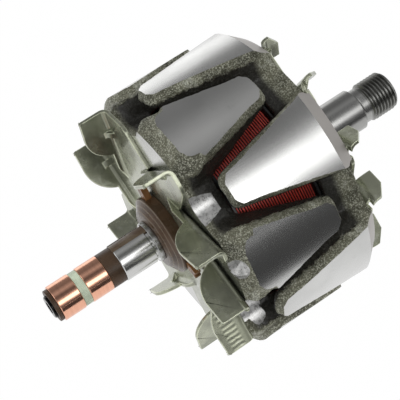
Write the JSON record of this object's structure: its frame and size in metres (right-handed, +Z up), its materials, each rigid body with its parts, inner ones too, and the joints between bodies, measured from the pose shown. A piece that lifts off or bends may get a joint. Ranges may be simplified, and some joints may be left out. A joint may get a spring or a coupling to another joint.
{
  "type": "alternator rotor",
  "caption": "Claw-pole alternator rotor: two forged pole halves and a field coil on a shaft, with a fan at each end, slip rings and a threaded drive end.",
  "frame": {"origin": "on the shaft axis, at the middle of the drive end bearing's seat", "axes": "+X along the shaft towards the threaded drive end, +Z up with the rotor lying on its claws"},
  "size_m": [0.1583, 0.108, 0.108],
  "materials": {
    "ground_steel": "ground and turned",
    "forged_steel": "forged, with ground claw faces",
    "black_plastic": "glossy moulded",
    "copper_wire": "red enamel over copper",
    "plated_sheet": "plated stamped sheet",
    "copper": "turned copper",
    "copper_lead": "copper under orange resin",
    "pale_plastic": "pale green moulded",
    "brown_plastic": "dark brown moulded"
  },
  "bodies": {
    "root": {"shaft": "ground_steel", "rear_pole": "forged_steel", "drive_pole": "forged_steel", "bobbin": "black_plastic", "field_winding": "copper_wire", "rear_fan": "plated_sheet", "drive_fan": "plated_sheet", "front_slip_ring": "copper", "rear_slip_ring": "copper", "ring_insulator": "pale_plastic", "ring_carrier": "brown_plastic", "lead_disc": "brown_plastic", "front_lead_ear": "copper_lead", "rear_lead_ear": "copper_lead", "lead_tongue": "brown_plastic", "collar": "ground_steel", "spacer": "ground_steel"}
  },
  "joints": []
}
